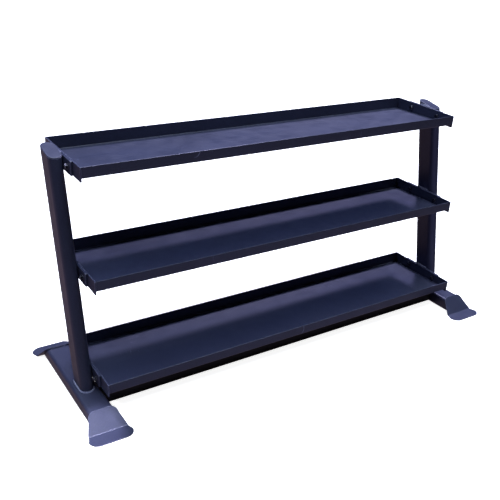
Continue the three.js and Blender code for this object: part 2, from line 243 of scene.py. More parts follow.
class Shader:
    """A material's node tree, with short calls for adding nodes and linking them."""

    def __init__(self, name):
        self.material = bpy.data.materials.new(name)
        self.material.use_nodes = True
        self.tree = self.material.node_tree
        self.surface = self.tree.nodes["Principled BSDF"]
        self.place = self.add("ShaderNodeTexCoord").outputs["Object"]

    def add(self, kind, inputs=None, **settings):
        node = self.tree.nodes.new(kind)
        for key, value in settings.items():
            setattr(node, key, value)
        for key, value in (inputs or {}).items():
            self.feed(node.inputs[key], value)
        return node

    def feed(self, socket, value):
        if isinstance(value, bpy.types.NodeSocket):
            self.tree.links.new(value, socket)
        else:
            socket.default_value = value

    def noise(self, size, detail=2.0, rough=0.5, stretch=(1, 1, 1), shift=0.0):
        """Smooth noise whose cells are about this many metres across, from 0 to 1."""
        scale = tuple(s / size for s in stretch)
        mapping = self.add("ShaderNodeMapping", {"Vector": self.place, "Scale": scale})
        mapping.inputs["Location"].default_value = (shift, shift, shift)
        inputs = {"Vector": mapping.outputs["Vector"], "Scale": 1.0,
                  "Detail": detail, "Roughness": rough}
        return self.add("ShaderNodeTexNoise", inputs).outputs["Fac"]

    def remap(self, value, low, high, new_low=0.0, new_high=1.0):
        inputs = {"Value": value, "From Min": low, "From Max": high,
                  "To Min": new_low, "To Max": new_high}
        return self.add("ShaderNodeMapRange", inputs).outputs["Result"]

    def maths(self, operation, first, second=0.0):
        return self.add("ShaderNodeMath", {0: first, 1: second}, operation=operation).outputs[0]

    def blend(self, factor, first, second):
        node = self.add("ShaderNodeMix", {"Factor": factor}, data_type="RGBA")
        for socket, value in ((node.inputs[6], first), (node.inputs[7], second)):
            self.feed(socket, value if isinstance(value, bpy.types.NodeSocket) else (*value, 1.0))
        return node.outputs[2]

    def edge_mask(self, radius):
        """1 within a radius of an outward edge or corner, and 0 on open faces."""
        open_face, on_edge = 0.985, 0.86         # how far the two normals still agree
        soft = self.add("ShaderNodeBevel", {"Radius": radius}, samples=6).outputs["Normal"]
        true = self.add("ShaderNodeNewGeometry").outputs["Normal"]
        agree = self.add("ShaderNodeVectorMath", {0: soft, 1: true}, operation="DOT_PRODUCT")
        return self.remap(agree.outputs["Value"], open_face, on_edge)

    def bump(self, height, depth, normal=None):
        node = self.add("ShaderNodeBump", {"Height": height, "Distance": depth, "Strength": 1.0})
        if normal is not None:
            self.feed(node.inputs["Normal"], normal)
        return node.outputs["Normal"]


# The powder coat: how wide the cells of its noises are, and how deep its bumps, in metres.
MOTTLE_SIZE = 0.22
GRAIN_SIZE = 0.0045
PEEL_SIZE, PEEL_DEPTH = 0.0034, 0.00005
TOOTH_SIZE, TOOTH_DEPTH = 0.0009, 0.00002
WEAR_HIGHLIGHT_SIZE, WEAR_HIGHLIGHT_RADIUS = 0.012, 0.0028
WEAR_HIGHLIGHT_PATCHES = (0.32, 0.62, 0.45, 1.0)             # from and to in the noise, least and most wear and painted edge highlight
SHEEN_SIZE, SHEEN_SWING = 0.05, 0.05
MOTTLE_SHARE, GRAIN_SHARE = 0.18, 0.30             # how far each moves the colour
TONE_SWING = 0.28                                  # darkest and lightest, against the mean
COAT_IOR = 1.56
COAT_TINT = (0.78, 0.83, 1.0, 1.0)
MARK_ROUGHNESS = 0.12                              # how much rougher a scratch is


def powder_coat(name, colour, pale_wear_and_highlight, roughness, scuffs=0.0, edge_lightening=0.9):
    """A semi-gloss powder coat: fine grain over orange peel, mottled, paler along its edges with
    wear and a painted highlight.
    """
    shader = Shader(name)
    clouds = shader.noise(MOTTLE_SIZE, detail=4.0)
    grain = shader.noise(GRAIN_SIZE, detail=3.0, rough=0.7)
    peel = shader.noise(PEEL_SIZE, detail=1.0)
    tooth = shader.noise(TOOTH_SIZE, detail=2.0, rough=0.6)

    mottle = shader.maths("ADD", shader.remap(clouds, *NOISE_SPAN, -MOTTLE_SHARE, MOTTLE_SHARE),
                          shader.remap(grain, *NOISE_SPAN, -GRAIN_SHARE, GRAIN_SHARE))
    dark = tuple((1 - TONE_SWING) * c for c in colour)
    light = tuple((1 + TONE_SWING) * c for c in colour)
    coat = shader.blend(shader.remap(mottle, -0.5, 0.5), dark, light)

    patches = shader.remap(shader.noise(WEAR_HIGHLIGHT_SIZE, detail=3.0), *WEAR_HIGHLIGHT_PATCHES)
    pale_edges = shader.maths("MULTIPLY", shader.edge_mask(WEAR_HIGHLIGHT_RADIUS), patches)
    # Edges go pale: partly wear, partly a painted highlight where edges catch light.
    coat = shader.blend(shader.maths("MULTIPLY", pale_edges, edge_lightening), coat, pale_wear_and_highlight)
    rough = shader.remap(shader.noise(SHEEN_SIZE, detail=5.0), *NOISE_SPAN,
                         roughness - SHEEN_SWING, roughness + SHEEN_SWING)

    if scuffs:
        marks = scratches(shader, scuffs)
        coat = shader.blend(marks, coat, pale_wear_and_highlight)
        rough = shader.maths("ADD", rough, shader.maths("MULTIPLY", marks, MARK_ROUGHNESS))

    shader.feed(shader.surface.inputs["Base Color"], coat)
    shader.feed(shader.surface.inputs["Roughness"], rough)
    shader.surface.inputs["IOR"].default_value = COAT_IOR
    shader.surface.inputs["Specular Tint"].default_value = COAT_TINT
    normal = shader.bump(peel, PEEL_DEPTH)
    normal = shader.bump(tooth, TOOTH_DEPTH, normal)
    shader.feed(shader.surface.inputs["Normal"], normal)
    return shader.material


# Scratches: each family's own place in the noise, and how its noise is squeezed across the lines.
SCRATCH_FAMILIES = ((3.1, (1.0, 26.0, 1.0)), (7.7, (18.0, 1.0, 1.0)))
SCRATCH_LENGTH = 0.30
HAIRLINE = (0.0035, 0.001)                         # how near its middle value the noise has to be
PATCH_SIZE, PATCH_SPAN = 0.16, (0.63, 0.70)        # scratches show only where a noise is high
SPECK_SIZE, SPECK_SPAN = 0.006, (0.80, 0.84)


def scratches(shader, amount):
    """Sparse hairline scratches and dust specks, as a mask."""
    total = None
    for shift, stretch in SCRATCH_FAMILIES:
        line = shader.noise(SCRATCH_LENGTH, detail=1.0, stretch=stretch, shift=shift)
        off_line = shader.maths("ABSOLUTE", shader.maths("SUBTRACT", line, 0.5))
        thin = shader.remap(off_line, *HAIRLINE)
        patch = shader.remap(shader.noise(PATCH_SIZE, detail=2.0, shift=shift + 1.0), *PATCH_SPAN)
        mark = shader.maths("MULTIPLY", thin, patch)
        total = mark if total is None else shader.maths("MAXIMUM", total, mark)
    specks = shader.remap(shader.noise(SPECK_SIZE, detail=1.0, shift=11.0), *SPECK_SPAN)
    return shader.maths("MULTIPLY", shader.maths("MAXIMUM", total, specks), amount)


STEEL_DARK, STEEL_LIGHT = (0.030, 0.030, 0.042), (0.070, 0.070, 0.095)
STEEL_RUBBED = (0.55, 0.55, 0.65)
STEEL_CLOUD, STEEL_SHEEN, STEEL_TURNING = 0.006, 0.002, 0.0012
STEEL_ROUGHNESS = (0.30, 0.44)
STEEL_WEAR_RADIUS = 0.0016
TURNING_DEPTH = 0.00004


def blackened_steel(name):
    """Dark zinc-plated steel, rubbed bright on its corners."""
    shader = Shader(name)
    cloud = shader.remap(shader.noise(STEEL_CLOUD, detail=4.0), *NOISE_SPAN)
    body = shader.blend(cloud, STEEL_DARK, STEEL_LIGHT)
    edge_lightening = shader.blend(shader.edge_mask(STEEL_WEAR_RADIUS), body, STEEL_RUBBED)
    shader.feed(shader.surface.inputs["Base Color"], edge_lightening)
    sheen = shader.remap(shader.noise(STEEL_SHEEN, detail=3.0), *NOISE_SPAN, *STEEL_ROUGHNESS)
    shader.feed(shader.surface.inputs["Roughness"], sheen)
    shader.surface.inputs["Metallic"].default_value = 1.0
    turned = shader.noise(STEEL_TURNING, detail=2.0)
    shader.feed(shader.surface.inputs["Normal"], shader.bump(turned, TURNING_DEPTH))
    return shader.material


# The near-black is partly the paint's own colour and partly painted shade under the bottom tray.
BLACK_PAINT_AND_SHADE, PAINT_WORN = (0.006, 0.006, 0.007), (0.03, 0.03, 0.033)
PAINT_STREAK, ALONG_TUBE = 0.012, (0.1, 1.0, 1.0)  # how wide a streak is, and how it is stretched
PAINT_SWING = 0.4
PAINT_ROUGHNESS = (0.55, 0.68)
PAINT_SPECULAR = 0.3
PAINT_WEAR_RADIUS, PAINT_WEAR = 0.002, 0.5
BRUSHING_SIZE, BRUSHING_DEPTH = 0.003, 0.00006


def matt_paint(name):
    """Brushed-on matt black paint: faint streaks along the tube, scuffed on its edges; its
    near-black tone is partly painted shade.
    """
    shader = Shader(name)
    streaks = shader.remap(shader.noise(PAINT_STREAK, detail=3.0, stretch=ALONG_TUBE), *NOISE_SPAN)
    dark = tuple((1 - PAINT_SWING) * c for c in BLACK_PAINT_AND_SHADE)
    light = tuple((1 + PAINT_SWING) * c for c in BLACK_PAINT_AND_SHADE)
    coat = shader.blend(streaks, dark, light)
    pale_edges = shader.maths("MULTIPLY", shader.edge_mask(PAINT_WEAR_RADIUS), PAINT_WEAR)
    coat = shader.blend(pale_edges, coat, PAINT_WORN)
    shader.feed(shader.surface.inputs["Base Color"], coat)
    shader.feed(shader.surface.inputs["Roughness"],
                shader.remap(streaks, 0.0, 1.0, *PAINT_ROUGHNESS))
    shader.surface.inputs["Specular IOR Level"].default_value = PAINT_SPECULAR
    brushing = shader.noise(BRUSHING_SIZE, detail=3.0)
    shader.feed(shader.surface.inputs["Normal"], shader.bump(brushing, BRUSHING_DEPTH))
    return shader.material


NAVY = (0.026, 0.029, 0.060)
TRAY_NAVY = (0.026, 0.030, 0.063)
# Lighter than the frame's navy: a painted highlight on the welds' smooth fillets.
WELD_HIGHLIGHT_NAVY = (0.080, 0.083, 0.150)
PALE_WEAR_AND_HIGHLIGHT = (0.24, 0.26, 0.44)                          # worn edges and scratches, and painted highlights along edges
LEFT_EDGE_HIGHLIGHT = (0.42, 0.44, 0.74)                        # painted highlights along the edges of the left plates
FRAME_ROUGHNESS, TRAY_ROUGHNESS, WELD_ROUGHNESS = 0.36, 0.40, 0.30
FRAME_COAT = powder_coat("frame_powder_coat", NAVY, PALE_WEAR_AND_HIGHLIGHT, FRAME_ROUGHNESS)
TRAY_COAT = powder_coat("tray_powder_coat", TRAY_NAVY, PALE_WEAR_AND_HIGHLIGHT, TRAY_ROUGHNESS,
                        scuffs=0.5, edge_lightening=0.25)
# The left ends and brackets take copies of the coat with painted edge highlights.
TRAY_END_COAT = {
    "left": powder_coat("left_end_coat_painted_highlight", TRAY_NAVY, LEFT_EDGE_HIGHLIGHT, TRAY_ROUGHNESS, edge_lightening=1.0),
    "right": powder_coat("right_end_powder_coat", TRAY_NAVY, PALE_WEAR_AND_HIGHLIGHT, TRAY_ROUGHNESS)}
BRACKET_COAT = {
    "left": powder_coat("left_bracket_coat_painted_highlight", NAVY, LEFT_EDGE_HIGHLIGHT, FRAME_ROUGHNESS, edge_lightening=1.0),
    "right": FRAME_COAT}
WELD_COAT = powder_coat("weld_coat_painted_highlight", WELD_HIGHLIGHT_NAVY, PALE_WEAR_AND_HIGHLIGHT, WELD_ROUGHNESS)
FASTENER = blackened_steel("dark_zinc_steel")
CROSSMEMBER_PAINT = matt_paint("black_paint_and_painted_shade")


# ---- Trays ----
def tray_frame(tier):
    """From a tray's own frame, centred on its bolts and tilted with its rims, to the rack's."""
    return Matrix.Translation(TRAY_CENTRES[tier]) @ Matrix.Rotation(TRAY_TILT, 4, "X")


SAG = 0.0010                                       # of the middle of a tray floor
WAVINESS = 0.0006
WAVES = (3.0, 5.0)                                 # how often a metre it changes along X and Y


def floor_sag(point, seed):
    """How far hand-folded sheet lies off true at a point: a long sag and a faint waviness."""
    along = 1 - (2 * point.x / PAN_LENGTH) ** 2
    across = max(0.0, 1 - (2 * point.y / TRAY_DEPTH) ** 2)
    wave = noise.noise(Vector((point.x * WAVES[0], point.y * WAVES[1], seed)))
    return across * (-SAG * along + WAVINESS * wave)


def tray_pan(tier):
    """A tray's sheet, folded up into a low front lip and a taller back wall."""
    half, rim = SHEET / 2, END_HEIGHT / 2
    front, back = -TRAY_DEPTH / 2 + half, TRAY_DEPTH / 2 - half
    front_fold = Vector((front, rim - LIP_HEIGHT + half))
    back_fold = Vector((back, -rim + half))
    floor_steps = 14
    floor = [front_fold.lerp(back_fold, i / floor_steps) for i in range(1, floor_steps)]
    corners = [Vector((front, rim)), front_fold, *floor, back_fold, Vector((back, rim))]
    outline = folded_sheet(corners, SHEET, SHEET_BEND)
    stations = 72
    rings = []
    for i in range(stations + 1):
        x = PAN_LENGTH * (i / stations - 0.5)
        ring = [Vector((x, *p)) for p in outline]
        rings.append([p + Vector((0, 0, floor_sag(p, TIERS.index(tier)))) for p in ring])
    bm = loft(rings)
    bm.transform(tray_frame(tier))
    make_piece(f"{tier}_tray_pan_folded", bm, TRAY_COAT, "tray_coat", f"{tier}_tray_pan")


def tray_end(tier, side):
    """The plate that closes an end of a tray."""
    node = f"{tier}_{side}_tray_end"
    low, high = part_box(node)
    bm = plate(rounded_rectangle(TRAY_DEPTH, END_HEIGHT, END_CORNER), low.x, high.x)
    bm.transform(tray_frame(tier))
    make_piece(f"{node}_plate", bm, TRAY_END_COAT[side], "tray_coat", node)


def bracket(tier, side):
    """The thicker plate on an upright that a tray's end is bolted to."""
    node = f"{tier}_{side}_bracket"
    low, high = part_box(node)
    outline = chamfered_plate(BRACKET_LENGTH, END_HEIGHT, BRACKET_CHAMFER, BRACKET_FOOT_CHAMFER)
    bm = plate(outline, low.x, high.x, BRACKET_EDGE)
    bm.transform(tray_frame(tier))
    make_piece(f"{node}_plate", bm, BRACKET_COAT[side], "frame_coat", node)


# ---- Fasteners: turned and hexagonal bodies round an axis along +X ----
HEX_SIDES = 48
HEX_CHAMFER = math.radians(30)
HEX_TOP = 0.97 * HEX_HALF                          # a hexagon's top face, after its chamfer
HEX_FILLET = 0.0004                                # between a hexagon and its flange
FLANGE_SEAT_EDGE, FLANGE_TOP_EDGE = (0.0003, 0.0004), 0.0005     # the first is radius and height
HEAD_DOME = 0.0008
HEAD_TOP_RADIUS = 0.80 * HEX_HALF
DOME_RINGS = (0.8, 0.5, 0.2)                       # shares of the head's top radius
THREAD_RUN_OUT = 0.0012
TIP_CHAMFER, TIP_EDGE = 0.0019, (0.0014, 0.0002)   # the edge's is radius and length
NUT_BORE = SHANK_RADIUS + SEAM
NUT_SEAT_CHAMFER = 0.0008
NUT_TOP_CHAMFER = 0.0010
TURN_PER_BOLT, TURN_PER_SIDE = 17, 5               # degrees: each is tightened to its own angle


def hex_ring(x, limit):
    """A hexagon cut back to a circle of this radius, which rounds off its corners."""
    ring = []
    for i in range(HEX_SIDES):
        angle = 2 * math.pi * i / HEX_SIDES
        flat = (angle + math.pi / 6) % (math.pi / 3) - math.pi / 6
        radius = min(HEX_HALF / math.cos(flat), limit)
        ring.append(Vector((x, radius * math.cos(angle), radius * math.sin(angle))))
    return ring


def round_ring(x, radius):
    """A circle round the X axis, with as many points as a hexagon."""
    angles = [2 * math.pi * i / HEX_SIDES for i in range(HEX_SIDES)]
    return [Vector((x, radius * math.cos(a), radius * math.sin(a))) for a in angles]


def flanged_hex(seat, height, direction, top_radius):
    """Rings of a flanged hexagon from its seat outward, ending at the rim of its top face."""
    def at(h):
        return seat + direction * h

    seat_inset, seat_rise = FLANGE_SEAT_EDGE
    skirt = [round_ring(at(0), FLANGE_RADIUS - seat_inset),
             round_ring(at(seat_rise), FLANGE_RADIUS),
             round_ring(at(FLANGE_HEIGHT - FLANGE_TOP_EDGE), FLANGE_RADIUS),
             round_ring(at(FLANGE_HEIGHT), FLANGE_RADIUS - FLANGE_TOP_EDGE)]
    corner = HEX_HALF / math.cos(math.pi / 6)
    body = [hex_ring(at(FLANGE_HEIGHT + HEX_FILLET), corner)]
    drop = (corner - HEX_HALF) * math.tan(HEX_CHAMFER)
    steps = 5
    for i in range(steps + 1):
        share = i / steps
        limit = corner - (corner - HEX_TOP) * share
        body.append(hex_ring(at(height - drop * (1 - share)), limit))
    return skirt + body + [round_ring(at(height), top_radius)]


def thread_rings(start, end, direction, steps_per_turn=8):
    """Rings along a screw thread, each point's radius following the helix past it."""
    count = max(2, round(abs(end - start) / THREAD_PITCH * steps_per_turn))
    rings = []
    for i in range(count + 1):
        x = start + (end - start) * i / count
        ring = []
        for k in range(HEX_SIDES):
            turn = k / HEX_SIDES
            phase = (direction * x / THREAD_PITCH - turn) % 1.0
            radius = SHANK_RADIUS - THREAD_DEPTH * abs(2 * phase - 1)
            angle = 2 * math.pi * turn
            ring.append(Vector((x, radius * math.cos(angle), radius * math.sin(angle))))
        rings.append(ring)
    return rings


def bolt_and_nut(tier, side, end):
    """The flanged bolt through a tray's end plate and bracket, and the nut that holds it."""
    outward = SIDES[side]
    bolt_node = f"{tier}_{side}_{end}_bolt"
    nut_node = f"{tier}_{side}_{end}_nut"
    head_end, tail_end = sorted((corner.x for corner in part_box(bolt_node)), key=abs)
    nut_seat = min((corner.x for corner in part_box(nut_node)), key=abs)
    head_seat = head_end + outward * HEAD_HEIGHT
    place = tray_frame(tier) @ Matrix.Translation((0, ENDS[end] * BOLT_SPREAD, 0))
    degrees = TURN_PER_BOLT * (TIERS.index(tier) + 2 * ENDS[end]) + TURN_PER_SIDE * outward
    turn = Matrix.Rotation(math.radians(degrees), 4, "X")

    head = flanged_hex(head_seat, HEAD_HEIGHT - HEAD_DOME, -outward, HEAD_TOP_RADIUS)
    for share in DOME_RINGS:
        x = head_end + outward * HEAD_DOME * (1 - math.sqrt(1 - share * share))
        head.append(round_ring(x, HEAD_TOP_RADIUS * share))
    thread_start = tail_end - outward * (THREAD_END + NUT_HEIGHT)
    tail = [round_ring(head_seat, SHANK_RADIUS), round_ring(thread_start, SHANK_RADIUS)]
    tail += thread_rings(thread_start, tail_end - outward * THREAD_RUN_OUT, outward)
    tip_inset, tip_length = TIP_EDGE
    tail += [round_ring(tail_end - outward * tip_length, SHANK_RADIUS - tip_inset),
             round_ring(tail_end, SHANK_RADIUS - TIP_CHAMFER)]
    bolt = loft(head[::-1] + tail)
    bolt.transform(place @ turn)
    make_piece(f"{bolt_node}_turned", bolt, FASTENER, "fastener", bolt_node)

    nut_rings = [round_ring(nut_seat, NUT_BORE + NUT_SEAT_CHAMFER)]
    nut_rings += flanged_hex(nut_seat, NUT_HEIGHT, outward, NUT_BORE + NUT_TOP_CHAMFER)
    nut_rings += [round_ring(nut_seat + outward * (NUT_HEIGHT - NUT_TOP_CHAMFER), NUT_BORE),
                  round_ring(nut_seat + outward * NUT_SEAT_CHAMFER, NUT_BORE)]
    nut = loft(nut_rings, close_loop=True)
    nut.transform(place @ turn)
    make_piece(f"{nut_node}_turned", nut, FASTENER, "fastener", nut_node)


# ---- End frames ----
def upright_axis_y(z):
    """Where the leaning axis of the uprights is at a height."""
    foot = TRAY_CENTRES["bottom"]
    return foot.y + (z - foot.z) * math.tan(LEAN)


def slide_to_plane(point, middle, normal):
    """Slides a point along the upright's lean until it lies in a plane."""
    lean = Vector((0, math.sin(LEAN), math.cos(LEAN)))
    return point + lean * ((middle - point).dot(normal) / lean.dot(normal))


def lean_ring(outline, side, plane_point, plane_normal):
    """The outline of the leaning tube where a plane cuts it."""
    x = SIDES[side] * FRAME_X
    across = Vector((0, math.cos(LEAN), -math.sin(LEAN)))
    start = Vector((x, upright_axis_y(0), 0))
    return [slide_to_plane(start + Vector((p.x, 0, 0)) + across * p.y, plane_point, plane_normal)
            for p in outline]


CAP_NORMAL = Vector((0, -math.sin(CAP_SLOPE), math.cos(CAP_SLOPE)))
CAP_EDGE = 0.0016
CAP_LOWER_CHAMFER = 0.0004


def cap_ring(side, depth, inset=0.0):
    """The tube's outline at a depth below the cap's top face, drawn in by an inset."""
    top = Vector((SIDES[side] * FRAME_X, upright_axis_y(UPRIGHT_TOP), UPRIGHT_TOP))
    middle = top - CAP_NORMAL * depth
    outline = oval(UPRIGHT_THICKNESS - 2 * inset, UPRIGHT_DEPTH - 2 * inset)
    return lean_ring(outline, side, middle, CAP_NORMAL)


def upright(side):
    """The leaning oval tube, from the base beam to the underside of its cap."""
    floor = Vector((0, 0, UPRIGHT_FOOT_Z))
    bottom = lean_ring(oval(UPRIGHT_THICKNESS, UPRIGHT_DEPTH), side, floor, Vector((0, 0, 1)))
    top = cap_ring(side, CAP_THICKNESS + SEAM)
    stations = 12
    rings = [[a.lerp(b, i / stations) for a, b in zip(bottom, top)] for i in range(stations + 1)]
    make_piece(f"{side}_upright_tube", loft(rings), FRAME_COAT, "frame_coat", f"{side}_upright")


def upright_cap(side):
    """The plate on top of an upright, its upper edge rounded."""
    rings = [cap_ring(side, CAP_THICKNESS, CAP_LOWER_CHAMFER),
             cap_ring(side, CAP_THICKNESS - CAP_LOWER_CHAMFER)]
    steps = 4
    for i in range(steps + 1):
        angle = math.pi / 2 * i / steps
        depth, inset = CAP_EDGE * (1 - math.sin(angle)), CAP_EDGE * (1 - math.cos(angle))
        rings.append(cap_ring(side, depth, inset))
    node = f"{side}_upright_cap"
    make_piece(f"{node}_plate", loft(rings), FRAME_COAT, "frame_coat", node)


def base_beam(side):
    """The flat tube on the floor, its ends mitred to lie under the sloping foot plates."""
    section = rounded_rectangle(BEAM_WIDTH, BEAM_HEIGHT, BEAM_RADIUS, steps=8)
    x = SIDES[side] * FRAME_X
    stations = 10
    rings = []
    for i in range(stations + 1):
        share = 2 * i / stations - 1
        ring = []
        for p in section:
            z = p.y + BEAM_HEIGHT / 2
            reach = BEAM_FOOT_Y - z / math.tan(FOOT_SLOPE)
            ring.append(Vector((x + p.x, share * reach, z)))
        rings.append(ring)
    make_piece(f"{side}_base_beam_tube", loft(rings), FRAME_COAT, "frame_coat", f"{side}_base_beam")


def foot_blank():
    """The flat foot plate's outline, with y measured from the bend toward the crest."""
    crest, spread = FOOT_CREST - FOOT_CREST_CORNER, FOOT_SPREAD - FOOT_CORNER
    right = arc((spread, -FOOT_FLANGE + FOOT_CORNER), FOOT_CORNER, -90, 0, 12)
    right += [Vector((FOOT_WAIST, -FOOT_PLAIN)), Vector((FOOT_WAIST, FOOT_PLAIN))]
    right += arc((crest, FOOT_RISE - FOOT_CREST_CORNER), FOOT_CREST_CORNER, 0, 90, 10)
    return right + [Vector((-p.x, p.y)) for p in reversed(right)]


def bend_foot(point):
    """Folds a point of the flat plate up about the bend, the plate lying on the floor."""
    middle = FOOT_BEND_RADIUS + FOOT_THICKNESS / 2
    half_arc = middle * FOOT_SLOPE / 2
    x, along, height = point
    offset = height - FOOT_THICKNESS / 2
    turned = min(max((along + half_arc) / middle, 0.0), FOOT_SLOPE)
    beyond = along + half_arc - turned * middle
    radius = middle - offset
    y = math.sin(turned) * radius + math.cos(turned) * beyond
    z = middle - math.cos(turned) * radius + math.sin(turned) * beyond
    return Vector((x, y - half_arc, z + FOOT_THICKNESS / 2))


FOOT_EDGE = 0.0013
BEND_CUTS = [k * 0.0012 for k in range(-4, 5)]     # close together, so that the bend is smooth
FLAT_CUTS = [-0.03, 0.03, 0.06]


def foot_plate(side, end):
    """The bent plate over an end of a base beam, its flange on the floor."""
    bm = loft([[Vector((p.x, p.y, z)) for p in foot_blank()] for z in (0, FOOT_THICKNESS)])
    round_edges(bm, FOOT_EDGE, sharper_than=60)
    for cut in BEND_CUTS + FLAT_CUTS:
        bmesh.ops.bisect_plane(bm, geom=bm.verts[:] + bm.edges[:] + bm.faces[:],
                               plane_co=(0, cut, 0), plane_no=(0, 1, 0))
    for vert in bm.verts:
        vert.co = bend_foot(vert.co)
    node = f"{side}_{end}_foot"
    low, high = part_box(node)
    edge_y = min(vert.co.y for vert in bm.verts)
    outer = low.y if end == "front" else high.y
    turn = Matrix.Identity(4) if end == "front" else Matrix.Rotation(math.pi, 4, "Z")
    start = Matrix.Translation((SIDES[side] * FRAME_X, outer, low.z))
    bm.transform(start @ turn @ Matrix.Translation((0, -edge_y, 0)))
    make_piece(f"{node}_plate", bm, FRAME_COAT, "frame_coat", node)


# ---- Welds ----
RIPPLE = 0.0026                                    # from one ripple to the next
RIPPLE_SWELL = 0.10
HAND_SWELL, HAND_PITCH = 0.10, 160                 # unevenness, and how often a metre it changes
BEAD_SHARE = 0.9                                   # of the weld's leg
BEAD_START, BEAD_RUN_UP = 0.35, 3                  # size at an open end, and points to full size
POINT_SPACING = RIPPLE / 6


def dense_loop(outline, spacing=POINT_SPACING):
    """The same closed outline with points no further apart than a spacing."""
    points = []
    for start, end in zip(outline, outline[1:] + outline[:1]):
        count = max(1, math.ceil((end - start).length / spacing))
        points += [start.lerp(end, k / count) for k in range(count)]
    return points


def straight_path(start, end, spacing=POINT_SPACING):
    """Points from a start to an end, no further apart than a spacing."""
    count = max(2, math.ceil((end - start).length / spacing))
    return [start.lerp(end, k / count) for k in range(count + 1)]


def bead(path, legs, name, closed=False, node=None):
    """A rippled fillet weld along a path; legs gives its two leg directions at each point."""
    steps = 6
    rings = []
    travelled = 0.0
    for i, point in enumerate(path):
        if i:
            travelled += (point - path[i - 1]).length
        first, second = legs[i]
        ripple = RIPPLE_SWELL * math.sin(2 * math.pi * travelled / RIPPLE)
        swell = 1 + ripple + HAND_SWELL * noise.noise(point * HAND_PITCH)
        from_end = min(i, len(path) - 1 - i) / BEAD_RUN_UP
        ends = 1.0 if closed else min(1.0, BEAD_START + (1 - BEAD_START) * from_end)
        section = [point]
        for k in range(steps + 1):
            angle = math.pi / 2 * k / steps
            out = first * math.cos(angle) + second * math.sin(angle)
            section.append(point + out * swell * ends * BEAD_SHARE)
        rings.append(section)
    bm = loft(rings, close_loop=closed)
    make_piece(name, bm, WELD_COAT, "weld_coat", *([node] if node else []))


def upright_foot_weld(side):
    """The bead round the foot of the upright, on top of the base beam."""
    outline = dense_loop(oval(UPRIGHT_THICKNESS + 2 * SEAM, UPRIGHT_DEPTH + 2 * SEAM))
    floor = Vector((0, 0, UPRIGHT_FOOT_Z))
    path = lean_ring(outline, side, floor, Vector((0, 0, 1)))
    up = Vector((0, math.tan(LEAN), 1)).normalized() * WELD_LEG
    legs = []
    for i, point in enumerate(path):
        ahead = (path[(i + 1) % len(path)] - path[i - 1]).normalized()
        legs.append((Vector((ahead.y, -ahead.x, 0)) * WELD_LEG, up))
    bead(path, legs, f"{side}_upright_foot_bead", closed=True, node=f"{side}_upright_weld")


def bracket_weld(tier, side):
    """The bead on top of a bracket, where it meets the upright's flat inner face."""
    inward = -SIDES[side]
    face_x = SIDES[side] * (FRAME_X - UPRIGHT_THICKNESS / 2)
    flat = (UPRIGHT_DEPTH - UPRIGHT_THICKNESS) / 2 / math.cos(LEAN)
    place = tray_frame(tier)
    z = END_HEIGHT / 2
    shift = z * math.tan(LEAN + TRAY_TILT)
    path = straight_path(Vector((face_x, shift - flat, z)), Vector((face_x, shift + flat, z)))
    path = [place @ p for p in path]
    out = Vector((inward * WELD_LEG, 0, 0))
    above = place.to_3x3() @ Vector((0, 0, WELD_LEG))
    bead(path, [(out, above)] * len(path), f"{tier}_{side}_bracket_bead")


def foot_weld(side, end):
    """The bead across the top of the base beam, against the foot plate's inner face."""
    outward = ENDS[end]
    x = SIDES[side] * FRAME_X
    y = outward * (BEAM_FOOT_Y - BEAM_HEIGHT / math.tan(FOOT_SLOPE))
    half = BEAM_WIDTH / 2 - BEAM_RADIUS
    path = straight_path(Vector((x - half, y, BEAM_HEIGHT)), Vector((x + half, y, BEAM_HEIGHT)))
    on_beam = Vector((0, -outward * WELD_LEG, 0))
    on_plate = Vector((0, -outward * math.cos(FOOT_SLOPE), math.sin(FOOT_SLOPE))) * WELD_LEG
    bead(path, [(on_beam, on_plate)] * len(path), f"{side}_{end}_foot_bead")


def low_crossmember():
    """The flat tube between the base beams, close to the floor."""
    node = "low_crossmember"
    low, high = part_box(node)
    size = high - low
    section = rounded_rectangle(size.y, size.z, CROSS_RADIUS)
    middle = (low + high) / 2
    stations = 16
    along = [low.x + size.x * i / stations for i in range(stations + 1)]
    rings = [[Vector((x, middle.y + p.x, middle.z + p.y)) for p in section] for x in along]
    make_piece(f"{node}_tube", loft(rings), CROSSMEMBER_PAINT, "crossmember_paint", node)


# ---- Studio ----
CAMERA_PLACE = Vector((-1.662, -2.3145, 1.716))
CAMERA_AZIMUTH = 33.77                             # degrees from +Y toward +X
CAMERA_DIP = 26.28                                 # degrees below level
CAMERA_ROLL = math.radians(2.60)
CAMERA_LENS = 49.74
CAMERA_SHIFT = (-0.008, 0.044)


def direction_to(azimuth, elevation):
    """A unit vector: azimuth in degrees from +Y toward +X, elevation above the horizon."""
    a, e = math.radians(azimuth), math.radians(elevation)
    return Vector((math.sin(a) * math.cos(e), math.cos(a) * math.cos(e), math.sin(e)))


def camera():
    """The photograph's viewpoint."""
    data = bpy.data.cameras.new("camera")
    data.lens = CAMERA_LENS
    data.shift_x, data.shift_y = CAMERA_SHIFT
    forward = direction_to(CAMERA_AZIMUTH, -CAMERA_DIP)
    level = direction_to(CAMERA_AZIMUTH + 90, 0)
    above = level.cross(forward)
    right = level * math.cos(CAMERA_ROLL) + above * math.sin(CAMERA_ROLL)
    up = above * math.cos(CAMERA_ROLL) - level * math.sin(CAMERA_ROLL)
    place = Matrix((right, up, -forward)).transposed().to_4x4()
    place.translation = CAMERA_PLACE
    eye = bpy.data.objects.new("camera", data)
    eye.matrix_world = place
    bpy.context.scene.collection.objects.link(eye)
    bpy.context.scene.camera = eye


def lamp(name, kind, energy, colour, place, target):
    """A light of a kind at a place, turned toward a target."""
    data = bpy.data.lights.new(name, kind)
    data.energy = energy
    data.color = colour
    light = bpy.data.objects.new(name, data)
    bpy.context.scene.collection.objects.link(light)
    light.location = place
    light.rotation_mode = "QUATERNION"
    light.rotation_quaternion = (target - place).to_track_quat("-Z", "Y")
    return light


